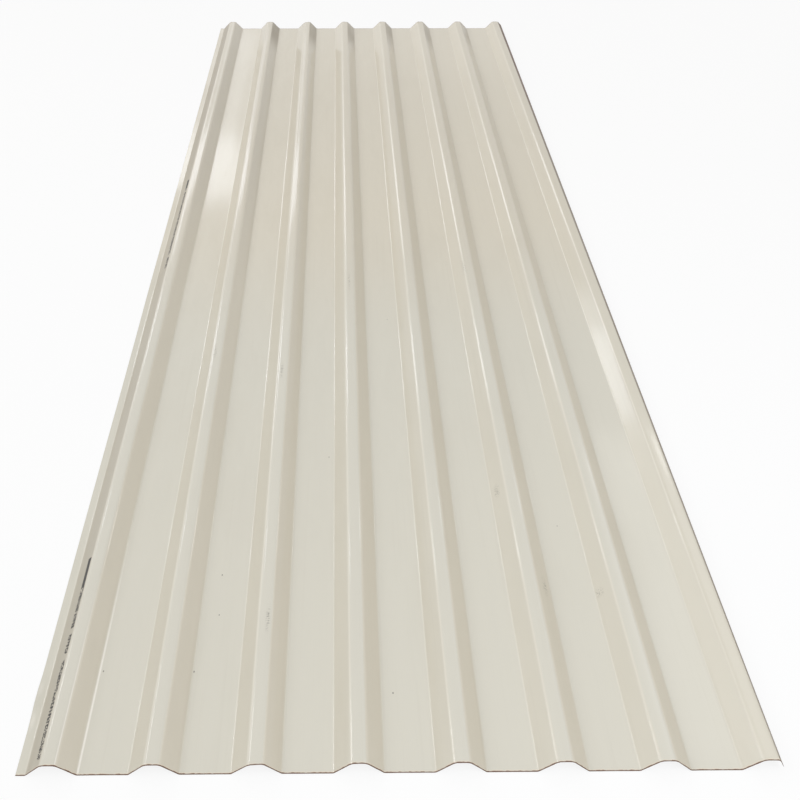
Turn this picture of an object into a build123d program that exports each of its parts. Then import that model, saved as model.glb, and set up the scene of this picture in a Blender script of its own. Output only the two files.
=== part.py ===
"""Box-rib metal roofing sheet: one length of thin painted steel, roll-formed.

Eight trapezoidal ribs stand up from flat pans. The left side ends in a flat
lip, which goes under the next sheet. The right side ends in a short leg that
turns down from the last crest, which laps over the next sheet's first rib.
Millimetres, +Z up, the ribs run along Y. The origin is in the middle of the
sheet, on the level that its pans lie on.
"""

from build123d import *
import math
import os

# Stock length and the coil it is formed from
sheet_length = 3050.0
sheet_thickness = 0.5

# Ribs, measured on the underside of the sheet
rib_count = 8
rib_pitch = 144.3
rib_height = 25.4
crest_width = 21.3
foot_width = 71.5

# Inside radii that the rolls leave: tight at the feet, rounder at the crests
foot_radius = 5.0
crest_radius = 10.0

# Side laps: how far the flat lip and the turned-down leg reach sideways
lip_width = 13.5
leg_width = 13.0

# A flank spans what the crest leaves of the foot, and sets the leg's slope
flank_width = (foot_width - crest_width) / 2
flank_angle = math.atan2(rib_height, flank_width)
leg_drop = leg_width * math.tan(flank_angle)

# Side to side: lip, left half of the first rib, pitches, half a crest, leg,
# and the little that the leg's outer face stands out past its inner one
overall_width = (
    lip_width
    + foot_width / 2
    + rib_pitch * (rib_count - 1)
    + crest_width / 2
    + leg_width
    + sheet_thickness * math.sin(flank_angle)
)
left_edge = -overall_width / 2
first_rib = left_edge + lip_width + foot_width / 2
last_rib = first_rib + rib_pitch * (rib_count - 1)

# A bend's radius is that of its inner face. It is the underside at a crest,
# and the upper side at a foot, so there the underside bends wider.
crest_bend = crest_radius
foot_bend = foot_radius + sheet_thickness

# Underside of the sheet from the lip to the leg, with one radius per corner
underside = [(left_edge, 0)]
bends = []
for rib in range(rib_count):
    middle = first_rib + rib * rib_pitch
    underside += [
        (middle - foot_width / 2, 0),
        (middle - crest_width / 2, rib_height),
        (middle + crest_width / 2, rib_height),
    ]
    bends += [foot_bend, crest_bend, crest_bend]
    if rib < rib_count - 1:
        underside.append((middle + foot_width / 2, 0))
        bends.append(foot_bend)
underside.append((last_rib + crest_width / 2 + leg_width, rib_height - leg_drop))

# The formed section, drawn once and given its thickness on the upper side
with BuildPart() as corrugated_sheet:
    with BuildSketch(Plane.XZ) as section:
        with BuildLine() as profile:
            FilletPolyline(*underside, radius=bends)
            offset(amount=sheet_thickness, side=Side.LEFT)
        make_face()
    extrude(amount=sheet_length / 2, both=True)

corrugated_sheet.part.label = "corrugated_sheet"

os.makedirs("parts", exist_ok=True)
export_step(corrugated_sheet.part, "parts/corrugated_sheet.step")
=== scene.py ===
"""Looks of the box-rib roofing sheet: its painted steel, its print, and the pale floor it lies on.

Metres, +Z up. The ribs run along Y, and the near end of the sheet is at -Y.
"""
import math

import bpy
from mathutils import Matrix, Vector


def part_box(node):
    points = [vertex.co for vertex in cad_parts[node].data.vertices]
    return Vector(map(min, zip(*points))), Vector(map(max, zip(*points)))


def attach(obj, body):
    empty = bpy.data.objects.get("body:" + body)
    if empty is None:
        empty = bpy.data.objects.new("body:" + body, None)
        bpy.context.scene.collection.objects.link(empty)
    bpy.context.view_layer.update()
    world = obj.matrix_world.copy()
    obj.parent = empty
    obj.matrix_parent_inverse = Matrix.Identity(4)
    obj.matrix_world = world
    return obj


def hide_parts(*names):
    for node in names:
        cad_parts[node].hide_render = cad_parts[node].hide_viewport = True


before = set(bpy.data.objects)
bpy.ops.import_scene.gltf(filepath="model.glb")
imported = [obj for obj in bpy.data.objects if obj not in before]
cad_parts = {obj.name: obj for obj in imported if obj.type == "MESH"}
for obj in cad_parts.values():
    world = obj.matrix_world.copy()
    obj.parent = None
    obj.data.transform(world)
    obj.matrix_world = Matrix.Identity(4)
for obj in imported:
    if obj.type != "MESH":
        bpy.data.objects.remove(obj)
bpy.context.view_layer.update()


# The sheet: 0.5 mm galvanised steel, coil-coated and then roll-formed into eight ribs.
# It is one piece, sheared square at both ends, with a flat lip along the left side and
# a turned-down leg along the right. The rolls leave its pans very slightly buckled.
class Wire:
    """One output socket. Python's operators on it add Math nodes to its tree."""

    def __init__(self, tree, socket):
        self.tree = tree
        self.socket = socket

    def maths(self, operation, *values):
        return self.tree.add("ShaderNodeMath", {"operation": operation}, dict(enumerate(values)))

    def __add__(self, other):
        return self.maths("ADD", self, other)

    def __sub__(self, other):
        return self.maths("SUBTRACT", self, other)

    def __rsub__(self, other):
        return self.maths("SUBTRACT", other, self)

    def __mul__(self, other):
        return self.maths("MULTIPLY", self, other)

    def __truediv__(self, other):
        return self.maths("DIVIDE", self, other)

    def __rtruediv__(self, other):
        return self.maths("DIVIDE", other, self)

    def __mod__(self, other):
        return self.maths("FLOORED_MODULO", self, other)

    def __lt__(self, other):
        return self.maths("LESS_THAN", self, other)

    def __gt__(self, other):
        return self.maths("GREATER_THAN", self, other)

    def __abs__(self):
        return self.maths("ABSOLUTE", self)

    def __neg__(self):
        return self.maths("MULTIPLY", self, -1.0)

    __radd__ = __add__
    __rmul__ = __mul__

    def floor(self):
        return self.maths("FLOOR", self)

    def cosine(self):
        return self.maths("COSINE", self)

    def sine(self):
        return self.maths("SINE", self)

    def top(self, other):
        return self.maths("MAXIMUM", self, other)

    def least(self, other):
        return self.maths("MINIMUM", self, other)

    def ease(self, start, end):
        """0 up to start, 1 from end on, and a smooth step between them."""
        return self.tree.add(
            "ShaderNodeMapRange",
            {"interpolation_type": "SMOOTHSTEP"},
            {"Value": self, "From Min": start, "From Max": end},
        )

    def near(self, place, reach):
        """1 where this value is at place, falling smoothly to 0 at reach away from it."""
        return 1 - abs(self - place).ease(0.0, reach)


class Tree:
    """A node tree that is filled by add, for shaders and for geometry alike."""

    def __init__(self, tree):
        self.tree = tree

    def add(self, kind, settings=None, values=None, out=0):
        """Adds a node: its settings first, then its sockets' values or links. Returns one output."""
        node = self.tree.nodes.new(kind)
        for name, setting in (settings or {}).items():
            setattr(node, name, setting)
        for name, value in (values or {}).items():
            socket = self.socket(node.inputs, name)
            for one in value if isinstance(value, list) else [value]:
                if isinstance(one, Wire):
                    self.tree.links.new(one.socket, socket)
                else:
                    socket.default_value = one
        if not node.outputs:
            return None
        return Wire(self, self.socket(node.outputs, out))

    def socket(self, sockets, name):
        """A node's socket by its number, or the one in use of those that share its name."""
        if isinstance(name, int):
            return sockets[name]
        return next(s for s in sockets if s.name == name and s.enabled)

    def given(self, name):
        """A size that the modifier gives to the tree."""
        return self.add("NodeGroupInput", out=name)

    def here(self):
        return self.add("GeometryNodeInputPosition")

    def index(self):
        return self.add("GeometryNodeInputIndex")

    def axis(self, vector, name):
        return self.add("ShaderNodeSeparateXYZ", {}, {0: vector}, out=name)

    def point(self, x, y, z):
        return self.add("ShaderNodeCombineXYZ", {}, {0: x, 1: y, 2: z})

    def noise(self, vector, scale, detail, roughness=0.5):
        values = {"Vector": vector, "Scale": scale, "Detail": detail, "Roughness": roughness}
        return self.add("ShaderNodeTexNoise", {}, values)

    def wave(self, run, detail):
        """Noise along one line, with swells about 1 long."""
        values = {"W": run, "Scale": 1.0, "Detail": detail}
        return self.add("ShaderNodeTexNoise", {"noise_dimensions": "1D"}, values)

    def points_of(self, curve):
        return self.add("GeometryNodeAttributeDomainSize", {"component": "CURVE"}, {0: curve})

    def move(self, geometry, **where):
        """Moves points to a Position or by an Offset."""
        return self.add("GeometryNodeSetPosition", {}, {"Geometry": geometry, **where})


low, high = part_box("corrugated_sheet")
thickness = 0.0005
sheet_sizes = {
    # The section at its real size
    "Ribs": 8,
    "Pitch": 0.1443,
    "Crest Width": 0.0213,
    "Foot Width": 0.0715,
    "Lip Width": 0.0135,
    "Leg Width": 0.013,
    "Foot Radius": 0.005,
    "Crest Radius": 0.010,
    "Thickness": thickness,
    "Rib Height": high[2] - low[2] - thickness,
    "Left Edge": low[0],
    "Length": high[1] - low[1],
    # The mesh: its rows along the sheet, the facets of a bend, and the widest facet of a flat
    "Rows": 132,
    "Bend Facets": 7,
    "Facet Width": 0.0095,
    # Small forms that the rolls and handling leave, and the seed of their noise. Ribs count from 0
    "Buckle": 0.0004,
    "Crest Crown": 0.00056,
    "Crest Lean": math.radians(5.5),
    "Leaning Rib": 2.0,
    "Leg Turn": math.radians(16.0),
    "Lip Ripple": 0.0009,
    "Lip Knock": 0.004,
    "Knock Place": -1.4,
    "Knock Reach": 0.05,
    "Drift": 0.005,
    "Seed": 7.3,
}


def first_middle(tree):
    """X of the first rib's middle."""
    return tree.given("Left Edge") + tree.given("Lip Width") + tree.given("Foot Width") / 2


def section_line(tree):
    """The underside from the lip's edge to the leg's, as one line that is bent at its corners."""
    crest = tree.given("Crest Width")
    foot = tree.given("Foot Width")
    height = tree.given("Rib Height")

    # The corners are the lip's edge, four to a rib, and the leg's edge in place of the last
    # foot. Of each four, numbered 0 to 3, the middle two are the crest's
    corners = tree.given("Ribs") * 4 + 1
    step = tree.index() - 1
    rib = (step / 4).floor()
    corner = step - rib * 4
    on_crest = (corner > 0.5) * (corner < 2.5)
    side = (corner > 1.5) * 2 - 1
    middle = first_middle(tree) + rib * tree.given("Pitch")
    reach = foot / 2 + on_crest * (crest - foot) / 2

    # The leg goes on at the flank's slope
    leg = tree.given("Leg Width")
    flank_slope = height / (foot - crest) * 2
    leg_x = middle + crest / 2 + leg
    leg_z = height - leg * flank_slope

    lip_edge = tree.index() < 0.5
    leg_edge = tree.index() > corners - 1.5
    inner = (1 - lip_edge) * (1 - leg_edge)
    corner_x = lip_edge * tree.given("Left Edge") + leg_edge * leg_x + inner * (middle + side * reach)
    corner_z = leg_edge * leg_z + inner * on_crest * height
    line = tree.add("GeometryNodeMeshLine", {}, {"Count": corners})
    line = tree.move(line, Position=tree.point(corner_x, 0.0, corner_z))
    line = tree.add("GeometryNodeMeshToCurve", {}, {"Mesh": line})

    # A bend's radius is that of its inner face, so the underside bends wider at a foot
    foot_bend = tree.given("Foot Radius") + tree.given("Thickness")
    bend = on_crest * tree.given("Crest Radius") + (1 - on_crest) * foot_bend
    line = tree.add(
        "GeometryNodeFilletCurve",
        {"mode": "POLY"},
        {"Curve": line, "Count": tree.given("Bend Facets"), "Radius": bend, "Limit Radius": True},
    )

    # Each stretch is cut into facets. The last point has no stretch after it
    next_point = tree.add(
        "GeometryNodeFieldAtIndex",
        {"data_type": "FLOAT_VECTOR"},
        {"Index": tree.index() + 1, "Value": tree.here()},
    )
    stretch = tree.add(
        "ShaderNodeVectorMath",
        {"operation": "DISTANCE"},
        {0: tree.here(), 1: next_point},
        out="Value",
    )
    before_last = tree.index() < tree.points_of(line) - 1.5
    cuts = (stretch / tree.given("Facet Width")).floor() * before_last
    return tree.add("GeometryNodeSubdivideCurve", {}, {"Curve": line, "Cuts": cuts})


def run_out(tree, line):
    """A grid whose rows are copies of the section, from the near end to the far one."""
    across = tree.points_of(line)
    rows = tree.given("Rows")
    grid = tree.add("GeometryNodeMeshGrid", {}, {"Vertices X": rows, "Vertices Y": across})
    row = (tree.index() / across).floor()
    place = tree.add(
        "GeometryNodeSampleIndex",
        {"data_type": "FLOAT_VECTOR"},
        {"Geometry": line, "Value": tree.here(), "Index": tree.index() - row * across},
    )
    along = (row / (rows - 1) - 0.5) * tree.given("Length")
    grid = tree.move(grid, Position=tree.point(tree.axis(place, "X"), along, tree.axis(place, "Z")))

    # Paint, print and dirt find their places on the sheet as it was formed, before it is bent
    return tree.add(
        "GeometryNodeStoreNamedAttribute",
        {"data_type": "FLOAT_VECTOR", "domain": "POINT"},
        {"Geometry": grid, "Name": "formed_at", "Value": tree.here()},
    )


def bend_out_of_true(tree, grid):
    """The small forms of a real sheet, which its highlights show."""
    x = tree.axis(tree.here(), "X")
    y = tree.axis(tree.here(), "Y")
    z = tree.axis(tree.here(), "Z")
    pitch = tree.given("Pitch")
    crest = tree.given("Crest Width")
    height = tree.given("Rib Height")
    first = first_middle(tree)
    from_left = x - tree.given("Left Edge")

    # Pans buckle upwards between their bends, each one in its own way
    swells_across = 5
    swells_along = 2.4
    turn = (x - first) / pitch + 0.5
    from_rib = abs(turn - turn.floor() - 0.5) * pitch
    on_pan = from_rib.ease(tree.given("Foot Width") / 2, pitch / 2)
    swells = tree.point(x * swells_across, y * swells_along, tree.given("Seed"))
    buckle = tree.noise(swells, scale=1.0, detail=1.5, roughness=0.4)
    lift = on_pan * buckle * tree.given("Buckle")

    # Crests are slightly convex. One leans down to the left, and its neighbours lean a little
    lean_reach = 1.2
    rib_number = turn.floor()
    crest_middle = first + rib_number * pitch
    outwards = (abs(x - crest_middle) / crest * 2).least(1.0)
    from_right = (crest_middle + crest / 2 - x).top(0.0).least(crest)
    lean = from_right * rib_number.near(tree.given("Leaning Rib"), lean_reach) * tree.given("Crest Lean")
    lift = lift - (outwards * outwards * tree.given("Crest Crown") + lean) * (z / height)

    # The lip is a free edge, so it ripples, and it is bent up at one knock near its near end
    ripples_along = 2.2
    on_lip = 1 - from_left.ease(0.0, tree.given("Lip Width"))
    ripple = tree.wave(y * ripples_along + tree.given("Seed"), detail=1.0).ease(0.35, 0.75)
    knock = y.near(tree.given("Knock Place"), tree.given("Knock Reach"))
    lift = lift + on_lip * (ripple * tree.given("Lip Ripple") + knock * tree.given("Lip Knock"))

    # The leg is turned further in, the nearer the near end it is, about the last crest's edge
    hinge_half = 0.002
    hinge = first + (tree.given("Ribs") - 1) * pitch + crest / 2
    out = x - hinge
    down = z - height
    to_near_end = 0.5 - y / tree.given("Length")
    turned = out.ease(-hinge_half, hinge_half) * to_near_end * tree.given("Leg Turn")
    shift_x = out * (turned.cosine() - 1) + down * turned.sine()
    shift_z = down * (turned.cosine() - 1) - out * turned.sine()

    # The first rib has drifted inwards, most at the far end, and takes its neighbours along
    wanders_along = 1.7
    pitches_moved = 3
    to_far_end = y / tree.given("Length") + 0.5
    wander = tree.wave(y * wanders_along + tree.given("Seed"), detail=0.0)
    drift = to_far_end.ease(0.2, 1.0) * 0.8 + to_far_end.ease(0.0, 0.2) * wander * 0.4
    moved = 1 - from_left.ease(0.0, pitch * pitches_moved)
    shift_x = shift_x + drift * tree.given("Drift") * moved
    return tree.move(grid, Offset=tree.point(shift_x, 0.0, lift + shift_z))


def thicken(tree, grid, paint, backer, cut_steel):
    """The grid with its thickness: painted above, with a backer below, and bare at its cut edges."""
    merge_reach = 0.00002
    crease = math.radians(50)

    # The grid faces down, as the underside does. Its copy faces up, and thickness goes on above it
    above = tree.add("GeometryNodeFlipFaces", {}, {0: grid})
    solid = tree.add(
        "GeometryNodeExtrudeMesh",
        {},
        {"Mesh": above, "Offset Scale": tree.given("Thickness"), "Individual": False},
    )
    upper_face = Wire(tree, solid.socket.node.outputs["Top"])
    edge_face = Wire(tree, solid.socket.node.outputs["Side"])
    whole = tree.add("GeometryNodeJoinGeometry", {}, {0: [grid, solid]})
    whole = tree.add("GeometryNodeMergeByDistance", {}, {"Geometry": whole, "Distance": merge_reach})
    whole = tree.add("GeometryNodeSetShadeSmooth", {}, {"Geometry": whole, "Shade Smooth": True})
    creased = tree.add("GeometryNodeInputMeshEdgeAngle") > crease
    whole = tree.add(
        "GeometryNodeSetShadeSmooth",
        {"domain": "EDGE"},
        {"Geometry": whole, "Selection": creased, "Shade Smooth": False},
    )
    whole = tree.add("GeometryNodeRealizeInstances", {}, {0: whole})
    for faces, coat in ((True, backer), (upper_face, paint), (edge_face, cut_steel)):
        coated = {"Geometry": whole, "Selection": faces, "Material": coat}
        whole = tree.add("GeometryNodeSetMaterial", {}, coated)
    return whole


def roll_forming(sizes, paint, backer, cut_steel):
    """Geometry Nodes that bend one line into the section, run it out along Y and thicken it."""
    group = bpy.data.node_groups.new("roll_forming", "GeometryNodeTree")
    for name, size in sizes.items():
        kind = "NodeSocketInt" if isinstance(size, int) else "NodeSocketFloat"
        group.interface.new_socket(name, in_out="INPUT", socket_type=kind)
    group.interface.new_socket("Geometry", in_out="OUTPUT", socket_type="NodeSocketGeometry")
    tree = Tree(group)
    grid = run_out(tree, section_line(tree))
    whole = thicken(tree, bend_out_of_true(tree, grid), paint, backer, cut_steel)
    tree.add("NodeGroupOutput", {}, {0: whole})
    return group


def formed_mesh(name, group, sizes):
    """The plain mesh that a node group gives for these sizes, as an object at the origin."""
    maker = bpy.data.objects.new(name, bpy.data.meshes.new(name))
    bpy.context.scene.collection.objects.link(maker)
    nodes = maker.modifiers.new("forming", "NODES")
    nodes.node_group = group
    for item in group.interface.items_tree:
        if item.name in sizes:
            nodes[item.identifier] = sizes[item.name]

    # The widest faces set the normals, so the flats look flat right up to their bends
    weighted = maker.modifiers.new("flat_pans", "WEIGHTED_NORMAL")
    weighted.keep_sharp = True
    weighted.weight = 100
    bpy.context.view_layer.update()
    seen = maker.evaluated_get(bpy.context.evaluated_depsgraph_get())
    made = bpy.data.meshes.new_from_object(seen)
    made.name = name
    maker.modifiers.clear()
    maker.data = made
    return maker


# The topcoat: a bone-white polyester enamel, semi-gloss with a fine orange peel, over primer.
# It has gathered dust, dirt, scuffs and specks, and carries painted light: a paler far end, painted shade,
# and pale painted highlights along bends.
# Rust creeps in from both sheared ends, and black ink ticks run along the first rib's left flank.
paint_colour = (0.664, 0.614, 0.506, 1.0)
# Painted light: the paler coat towards the far end
far_light_colour = (0.744, 0.688, 0.567, 1.0)
dust_colour = (0.642, 0.616, 0.532, 1.0)
dirt_colour = (0.33, 0.28, 0.20, 1.0)
# Painted shade
shade_colour = (0.17, 0.13, 0.08, 1.0)
# Painted highlights: pale lines along bends and on the lip
highlight_colour = (0.90, 0.86, 0.78, 1.0)
scuff_colour = (0.10, 0.085, 0.07, 1.0)
ink_colour = (0.012, 0.012, 0.014, 1.0)
bare_rim_colour = (0.78, 0.66, 0.52, 1.0)
rust_colour = (0.11, 0.044, 0.022, 1.0)

pitch = sheet_sizes["Pitch"]
half_foot = sheet_sizes["Foot Width"] / 2
first_rib = sheet_sizes["Left Edge"] + sheet_sizes["Lip Width"] + half_foot
last_rib = first_rib + pitch * (sheet_sizes["Ribs"] - 1)

# Scuffs and specks: where they are on the sheet, and how far they reach
scuff_places = (
    (-0.3525, -0.575, 0.0050, 0.030),
    (-0.2060, -0.635, 0.0045, 0.040),
    (-0.2000, -1.275, 0.0050, 0.035),
    (0.2035, -0.982, 0.0060, 0.022),
    (0.2180, -0.235, 0.0050, 0.045),
    (0.2540, -1.205, 0.0060, 0.026),
    (0.3440, -1.214, 0.0080, 0.012),
    (-0.0610, -0.300, 0.0040, 0.050),
)
speck_places = (
    (-0.2845, -1.167, 0.0016),
    (-0.2818, -1.250, 0.0014),
    (-0.1056, -0.878, 0.0014),
    (-0.3104, -1.357, 0.0018),
    (-0.0059, -1.397, 0.0016),
    (-0.4500, -1.355, 0.0016),
    (0.0250, -0.420, 0.0012),
    (0.3020, -1.060, 0.0012),
)

# Print: where each row starts and ends, and how long the solid bar at its head is
print_rows = (
    (-1.144, -1.512, 0.062),
    (0.234, -0.226, 0.052),
)


def material(name):
    made = bpy.data.materials.new(name)
    made.use_nodes = True
    made.node_tree.nodes.clear()
    return made, Tree(made.node_tree)


def blend_colours(tree, amount, ground, over):
    return tree.add(
        "ShaderNodeMix",
        {"data_type": "RGBA", "blend_type": "MIX"},
        {"Factor": amount, "A": ground, "B": over},
        out="Result",
    )


class PaintedSpot:
    """A spot on the painted side: its place on the sheet as formed, its face, and its patchiness."""

    def __init__(self, tree):
        self.tree = tree
        self.place = tree.add("ShaderNodeAttribute", {"attribute_name": "formed_at"}, out="Vector")
        self.x = tree.axis(self.place, "X")
        self.y = tree.axis(self.place, "Y")
        self.z = tree.axis(self.place, "Z")

        # Across the section, 0 is the middle of a rib, and half a pitch is that of a pan
        turn = (self.x - first_rib) / pitch + 0.5
        self.from_rib = (turn - turn.floor() - 0.5) * pitch
        self.right_flank = self.flank(self.from_rib)
        self.left_flank = self.flank(-self.from_rib)
        self.crest = 1 - abs(self.from_rib).ease(0.006, 0.012)

        # The first rib's left flank and the leg look down and out at the side laps
        lap_foot = first_rib - half_foot
        self.lap_flank = self.x.ease(lap_foot - 0.002, lap_foot + 0.004)
        self.lap_flank = self.lap_flank * (1 - self.x.ease(first_rib - 0.014, first_rib - 0.009))
        self.leg = self.x.ease(last_rib + 0.0095, last_rib + 0.0120)

        self.clouds = self.patches(squeeze=0.35, scale=9.0, detail=5.0)
        self.streaks = self.patches(squeeze=0.02, scale=120.0, detail=3.0)
        self.lines = self.patches(squeeze=0.006, scale=700.0, detail=2.0)
        crosswise = tree.point(self.x * 0.5, self.y * 3, self.z * 0.5)
        self.strokes = tree.noise(crosswise, scale=420.0, detail=3.0).ease(0.52, 0.62)

        # Painted shade: right flanks are darkest in patches at the far end, except by the first rib
        far_end = self.y.ease(1.22, 1.42) * self.x.ease(-0.44, -0.36)
        self.far_shade_patches = far_end * (1 - self.clouds.ease(0.45, 0.75) * 0.6)

    def flank(self, outwards):
        """1 on the ribs' faces on one side, between the bends of crest and foot."""
        below_crest = outwards.ease(0.008, 0.012)
        past_foot = outwards.ease(half_foot - 0.003, half_foot + 0.003)
        return below_crest * (1 - past_foot)

    def patches(self, squeeze, scale, detail):
        """Noise that is drawn out along the ribs, the more so the smaller the squeeze is."""
        return self.tree.noise(self.tree.point(self.x, self.y * squeeze, self.z), scale, detail)


def painted_far_light(spot):
    """Painted light: the coat is paler towards the far end, and most on the left flanks from the third rib
    on.
    """
    everywhere = 0.25
    on_left_flanks = 0.50
    far = spot.y.ease(0.7, 1.45)
    return far * (everywhere + spot.left_flank * spot.x.ease(-0.30, 0.0) * on_left_flanks)


def dust(spot):
    """Fine grey dust lies on the near half's flats, with less on left flanks and the last crest."""
    flats = (1 - spot.right_flank) * (1 - spot.left_flank * 0.4)
    near = (-spot.y).ease(-0.1, 0.6)
    last_crest = spot.x.ease(last_rib - 0.0137, last_rib - 0.0077)
    return flats * near * (1 - last_crest * 0.6)


def dirt(spot):
    """Clouds, streaks and fine lines of dirt all over, and a darker film in streaks along the ribs' feet.
    """
    cloud_share = 0.05
    streak_share = 0.04
    line_share = 0.03
    film_share = 0.06
    film_reach = 0.006
    grime = spot.clouds.ease(0.50, 0.80) * cloud_share
    grime = grime + spot.streaks.ease(0.55, 0.80) * streak_share + spot.lines.ease(0.55, 0.75) * line_share
    foot_film = abs(spot.from_rib).near(half_foot, film_reach) * spot.streaks.ease(0.35, 0.65)
    return grime + foot_film * film_share


def painted_shade(spot):
    """Painted shade on the faces that look down and out at both side laps, and a darker film on the far
    half.
    """
    lap_share = 0.32
    far_lap_share = 0.13
    leg_share = 0.92
    far_patch_share = 0.42
    crest_share = 0.045
    flank_share = 0.11
    most = 0.96
    darkened = spot.lap_flank * (lap_share + spot.y.ease(-0.1, 0.5) * far_lap_share) + spot.leg * leg_share

    # The crests are a little darker, and painted shade lies on the right flanks at the far end and of the
    # first two ribs
    darkened = darkened + spot.right_flank * spot.far_shade_patches * far_patch_share
    darkened = darkened + spot.crest * spot.y.ease(-0.6, 0.1) * crest_share
    first_two_ribs = 1 - spot.x.ease(-0.31, -0.24)
    darkened = darkened + spot.right_flank * first_two_ribs * spot.y.ease(-0.3, 0.5) * flank_share
    return (darkened * (0.85 + spot.streaks * 0.3)).least(most)


def leg_rust_and_shade(spot):
    """The leg is darkened to rust's colour, partly rust and partly painted shade, most in patches on the
    far half.
    """
    return spot.leg * (0.12 + spot.y.ease(0.1, 1.2) * spot.clouds * 1.2)


def painted_highlights(spot):
    """Painted highlights: faint pale lines along bends, and pale patches on the lip's knocks."""
    # Every rib's left bends, and the last rib's most
    bend_reach = 0.0020
    crest_bend = 0.0112
    leftwards = -spot.from_rib
    left_bends = leftwards.near(half_foot, bend_reach) + leftwards.near(crest_bend, bend_reach)
    on_last_rib = spot.x.ease(0.44, 0.48) * spot.y.near(-0.35, 1.1)
    bend_highlights = left_bends * (0.16 + on_last_rib * 0.34) * (1 - spot.y.ease(0.9, 1.3))

    # The first rib's right bends, near the near end
    near_end = -spot.y
    foot_line = spot.x.near(first_rib + half_foot + 0.0015, 0.0026) * near_end.ease(1.02, 1.42)
    crest_line = spot.x.near(first_rib + 0.0095, 0.0014) * near_end.ease(1.15, 1.45) * 0.6

    # Two knocks on the outer part of the lip
    knocks = spot.y.near(-1.385, 0.020) + spot.y.near(-1.440, 0.022)
    outer_lip = first_rib - half_foot - 0.0095
    lip_patches = knocks * spot.x.near(outer_lip, 0.0050) * spot.clouds.ease(0.3, 0.6) * 0.8
    highlighted = (bend_highlights + foot_line + crest_line + lip_patches).least(1.0)
    return highlighted * (0.75 + spot.lines * 0.4).least(1.0)


def scuffs(spot):
    """Patches of short scuffed strokes."""
    scuffed = 0.0
    for x, y, reach_x, reach_y in scuff_places:
        scuffed = spot.x.near(x, reach_x) * spot.y.near(y, reach_y) * spot.strokes + scuffed
    return scuffed.least(1.0)


def specks(spot):
    """Chips down to the primer, with ragged rims."""
    drawn_out = 1.6
    raggedness = 0.36
    chipped = 0.0
    ragged = spot.tree.noise(spot.place, scale=1500.0, detail=1.0) * raggedness
    for x, y, reach in speck_places:
        chip = spot.x.near(x, reach) * spot.y.near(y, reach * drawn_out) - ragged
        chipped = chip.ease(0.05, 0.20) + chipped
    return chipped.least(1.0)


def ink(spot):
    """Rows of print: a solid bar at the head, then cells of chance ticks and dashes with gaps."""
    foot_of_row = 0.0170
    tall = 0.0058
    cell = 0.0060
    levels = 3
    ticks_in_cell = 3
    cells_in_group = 2
    inked_share = 0.74
    gap_share = 0.07
    space_share = 0.14

    def chance(x, y, z):
        return spot.tree.add("ShaderNodeTexWhiteNoise", {}, {"Vector": spot.tree.point(x, y, z)})

    up = (spot.z - foot_of_row) / tall
    on_band = (up > 0.0) * (up < 1.0) * (spot.x < first_rib)
    inked = 0.0
    for start, end, bar in print_rows:
        run = start - spot.y
        in_row = (run > 0.0) * (run < start - end)
        tick = (run / cell * ticks_in_cell).floor()
        group = (run / cell / cells_in_group).floor()
        ticks = chance(tick, (up * levels).floor(), start) < inked_share
        gap = chance(group, 0.5, start) < gap_share
        space = (run / cell) % 1.0 < space_share
        inked = in_row * (run < bar).top(ticks * (1 - gap) * (1 - space)) + inked
    return inked * on_band


def end_rust(spot):
    """Rust along both sheared ends, and the rim behind it where the coat has lifted."""
    from_end = sheet_sizes["Length"] / 2 - abs(spot.y)
    along_edge = spot.tree.point(spot.x, spot.y, 0.0)
    ragged = spot.tree.noise(along_edge, scale=160.0, detail=4.0)
    creep = 1 - from_end.ease(ragged * 0.0022, ragged * 0.0040)
    rim = (1 - from_end.ease(0.0015, 0.0045)) * ragged.ease(0.3, 0.6)
    return creep, rim


def bone_paint():
    made, tree = material("bone_paint")
    spot = PaintedSpot(tree)
    scuffed = scuffs(spot)
    printed = ink(spot)
    creep, rim = end_rust(spot)

    # From the enamel outwards. The paler far end, the painted shade and the pale lines along bends are
    # painted light
    colour = paint_colour
    for amount, over in (
        (painted_far_light(spot), far_light_colour),
        (dust(spot), dust_colour),
        (dirt(spot), dirt_colour),
        (painted_shade(spot), shade_colour),
        (leg_rust_and_shade(spot), rust_colour),
        (painted_highlights(spot), highlight_colour),
        (scuffed * 0.75, scuff_colour),
        (specks(spot) * 0.70, scuff_colour),
        (printed * (0.90 + spot.strokes * 0.08), ink_colour),
        (rim * 0.65, bare_rim_colour),
        (creep * 0.9, rust_colour),
    ):
        colour = blend_colours(tree, amount, colour, over)

    # Dirt, rust, ink and scuffs take the gloss away, and so do the faces with painted shade
    roughness = 0.42 + spot.clouds * 0.06 + spot.streaks * 0.04 + creep * 0.3
    dull = (spot.lap_flank * 0.8).top(spot.leg).top(spot.right_flank * spot.far_shade_patches * 0.7).top(printed)
    gloss = 0.6 * (1 - creep) * (1 - scuffed * 0.5) * (1 - dull)

    # The steel under the paint is slightly wavy, and the enamel on it has its orange peel
    waves = spot.patches(squeeze=0.5, scale=14.0, detail=2.0)
    bump = tree.add("ShaderNodeBump", {}, {"Strength": 1.0, "Distance": 0.004, "Height": waves})
    peel = tree.noise(spot.place, scale=900.0, detail=2.0)
    bump = tree.add(
        "ShaderNodeBump",
        {},
        {"Strength": 0.06, "Distance": 0.0002, "Height": peel, "Normal": bump},
    )
    shader = tree.add(
        "ShaderNodeBsdfPrincipled",
        {},
        {
            "Base Color": colour,
            "Roughness": roughness,
            "Specular IOR Level": 0.25,
            "Coat Weight": gloss,
            "Coat Roughness": 0.09,
            "Normal": bump,
        },
    )
    tree.add("ShaderNodeOutputMaterial", {}, {"Surface": shader})
    return made


# The backer: a thin washcoat over primer on the underside. It is baked on with the topcoat,
# and it is duller and greyer.
backer_colour = (0.50, 0.49, 0.455, 1.0)


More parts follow.
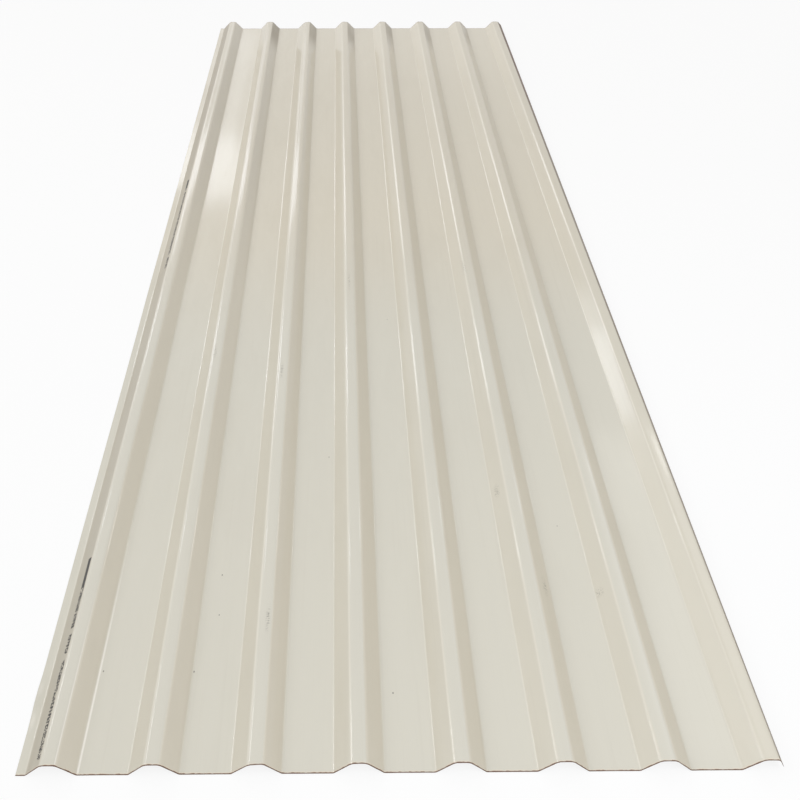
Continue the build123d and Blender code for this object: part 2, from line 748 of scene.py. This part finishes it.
def backer_coat():
    made, tree = material("backer_coat")
    place = tree.add("ShaderNodeTexCoord", out="Object")
    mottle = tree.noise(place, scale=14.0, detail=6.0)
    colour = blend_colours(tree, mottle.ease(0.4, 0.7) * 0.12, backer_colour, dirt_colour)
    shader = tree.add(
        "ShaderNodeBsdfPrincipled",
        {},
        {"Base Color": colour, "Roughness": 0.5 + mottle * 0.1},
    )
    tree.add("ShaderNodeOutputMaterial", {}, {"Surface": shader})
    return made


# The sheared edges: bare steel between two thin layers of zinc. The zinc is torn there, so the
# steel has begun to rust in patches.
zinc_colour = (0.42, 0.40, 0.37, 1.0)


def sheared_steel():
    made, tree = material("sheared_steel")
    place = tree.add("ShaderNodeTexCoord", out="Object")
    rust = tree.noise(place, scale=45.0, detail=4.0).ease(0.38, 0.55)
    colour = blend_colours(tree, rust, zinc_colour, rust_colour)
    shader = tree.add(
        "ShaderNodeBsdfPrincipled",
        {},
        {"Base Color": colour, "Metallic": (1 - rust) * 0.7, "Roughness": 0.45 + rust * 0.4},
    )
    tree.add("ShaderNodeOutputMaterial", {}, {"Surface": shader})
    return made


forming = roll_forming(sheet_sizes, bone_paint(), backer_coat(), sheared_steel())
steel_sheet = formed_mesh("painted_sheet", forming, sheet_sizes)
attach(steel_sheet, "root")
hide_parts("corrugated_sheet")


# The floor: a plain white sweep of studio paper, far wider than the sheet. It is shown nearly
# white, and still takes the sheet's soft shadow.
floor_half = 30.0
floor_drop = 0.0006
floor_colour = (0.86, 0.86, 0.86, 1.0)
shown_share = 0.87
white = (1.0, 1.0, 1.0, 1.0)


def seen_or_mirrored(tree):
    """1 for a ray from the camera, off a mirror or through glass, and 0 for a ray that lights."""
    seen = tree.add("ShaderNodeLightPath", out="Is Camera Ray")
    mirrored = tree.add("ShaderNodeLightPath", out="Is Glossy Ray")
    through = tree.add("ShaderNodeLightPath", out="Is Transmission Ray")
    return seen.top(mirrored).top(through)


def studio_floor():
    made, tree = material("studio_floor")
    lit = tree.add("ShaderNodeBsdfDiffuse", {}, {"Color": floor_colour})
    glow = tree.add("ShaderNodeEmission", {}, {"Color": white, "Strength": 1.0})
    mixed = tree.add("ShaderNodeMixShader", {}, {0: seen_or_mirrored(tree) * shown_share, 1: lit, 2: glow})
    tree.add("ShaderNodeOutputMaterial", {}, {"Surface": mixed})
    return made


floor_mesh = bpy.data.meshes.new("floor")
floor_corners = [
    (-floor_half, -floor_half, -floor_drop),
    (floor_half, -floor_half, -floor_drop),
    (floor_half, floor_half, -floor_drop),
    (-floor_half, floor_half, -floor_drop),
]
floor_mesh.from_pydata(floor_corners, [], [(0, 1, 2, 3)])
floor_mesh.materials.append(studio_floor())
floor = bpy.data.objects.new("floor", floor_mesh)
bpy.context.scene.collection.objects.link(floor)


# The room: even walls, seen and mirrored as plain white. They light the sheet softly, and a
# little warmly.
room_light = 0.49
warm_wall = (1.0, 0.985, 0.955, 1.0)
room = bpy.data.worlds.new("room")
room.use_nodes = True
room.node_tree.nodes.clear()
air = Tree(room.node_tree)
shown = seen_or_mirrored(air)
wall_colour = blend_colours(air, shown, warm_wall, white)
wall_glow = room_light + shown * (1 - room_light)
wall = air.add("ShaderNodeBackground", {}, {"Color": wall_colour, "Strength": wall_glow})
air.add("ShaderNodeOutputWorld", {}, {"Surface": wall})
bpy.context.scene.world = room


# The lamps: soft boxes of even radiance, in daylight's tint or plain white. Those beyond the far
# end and beside the sheet stand where the enamel mirrors them in the same places as in the
# photograph. The two soft boxes by the near end only light it.
daylight = (0.96, 1.0, 1.07)
plain_light = (1.0, 1.0, 1.0)


def lamp(name, place, aim, size, glow, roll=0.0, tint=daylight):
    """A rectangular lamp, turned to a point, that the camera itself doesn't see."""
    light = bpy.data.lights.new(name, "AREA")
    light.shape = "RECTANGLE"
    light.size, light.size_y = size
    light.energy = glow * math.pi * light.size * light.size_y
    light.color = tint
    box = bpy.data.objects.new(name, light)
    bpy.context.scene.collection.objects.link(box)
    forward = Vector(aim) - Vector(place)
    turned = forward.to_track_quat("-Z", "Y").to_matrix().to_4x4()
    box.matrix_world = Matrix.Translation(place) @ turned @ Matrix.Rotation(math.radians(roll), 4, "Z")
    box.visible_camera = False


def far_lamp(name, place, **looks):
    """A lamp beyond the far end, facing straight back along the ribs."""
    lamp(name, place, (place[0], 0.0, place[2]), **looks)


def lamp_above(name, place, **looks):
    """A lamp that faces straight down."""
    lamp(name, place, (place[0], place[1], 0.0), **looks)


far_lamp("window", (-2.78, 12.0, 5.76), size=(2.26, 1.11), glow=3.7)
far_lamp("window_sill", (-1.60, 11.9, 4.33), size=(0.42, 1.72), glow=0.95, roll=-15.0)
far_lamp("window_head", (-3.5, 12.0, 6.7), size=(1.0, 0.85), glow=4.4)
far_lamp("window_left", (-4.3, 12.0, 4.61), size=(2.3, 1.8), glow=3.0, roll=-43.0)
far_lamp("window_foot", (-3.41, 12.0, 3.66), size=(2.1, 0.8), glow=1.3, roll=-43.0)
far_lamp("window_above", (-6.3, 12.0, 7.5), size=(3.4, 1.8), glow=5.6, roll=-40.0)
far_lamp("window_near", (-5.3, 6.0, 6.3), size=(2.2, 0.8), glow=6.0, roll=-40.0)
far_lamp("far_wall_high", (0.5, 12.0, 3.45), size=(7.0, 1.7), glow=0.08, tint=plain_light)
far_lamp("far_wall_low", (0.5, 11.8, 3.2), size=(7.0, 1.2), glow=0.08, tint=plain_light)
far_lamp("side_window", (-9.25, 12.0, 4.56), size=(3.54, 0.8), glow=2.0, roll=25.0)
far_lamp("side_window_low", (-9.45, 11.9, 4.66), size=(2.3, 0.8), glow=3.8, roll=25.0)
lamp("left_glow", (-3.26, 2.0, 1.8), (0.0, 2.0, 1.8), size=(2.9, 0.5), glow=1.4, tint=plain_light)
lamp("left_lamp", (-2.85, 0.67, 2.5), (-0.3, -1.4, 0.0), size=(0.5, 0.5), glow=9.0, tint=plain_light)
lamp_above("right_glow", (2.22, 1.66, 3.4), size=(1.16, 2.62), glow=1.15, tint=plain_light)
lamp_above("right_strip", (2.82, 2.95, 3.3), size=(1.7, 0.35), glow=4.2, roll=29.0, tint=plain_light)
lamp("left_soft_box", (-4.5, -1.2, 4.2), (0.0, 0.0, 0.0), size=(3.0, 3.0), glow=3.05, tint=plain_light)
lamp("near_soft_box", (0.9, -2.2, 2.3), (0.1, -1.0, 0.0), size=(1.2, 1.2), glow=5.6)


# The camera: at the photograph's place, above the near end and looking down along the ribs.
# The lens is shifted sideways, as the photograph's middle isn't on its own lens's axis.
photo_size = 800
focal_pixels = 955.9
axis_pixel = 348.2
sensor_width = 36.0
sees_as_far_as = 200.0
camera_place = (-0.0829, -2.2194, 1.2651)
camera_yaw = math.radians(0.6)
camera_pitch = math.radians(39.9)
camera_roll = math.radians(0.1)
lens = bpy.data.cameras.new("camera")
lens.sensor_fit = "HORIZONTAL"
lens.sensor_width = sensor_width
lens.lens = focal_pixels / photo_size * sensor_width
lens.shift_x = (photo_size / 2 - axis_pixel) / photo_size
lens.clip_end = sees_as_far_as
camera = bpy.data.objects.new("camera", lens)
bpy.context.scene.collection.objects.link(camera)
camera.matrix_world = (
    Matrix.Translation(camera_place)
    @ Matrix.Rotation(-camera_yaw, 4, "Z")
    @ Matrix.Rotation(math.pi / 2 - camera_pitch, 4, "X")
    @ Matrix.Rotation(camera_roll, 4, "Z")
)
bpy.context.scene.camera = camera
bpy.context.scene.view_settings.view_transform = "Standard"
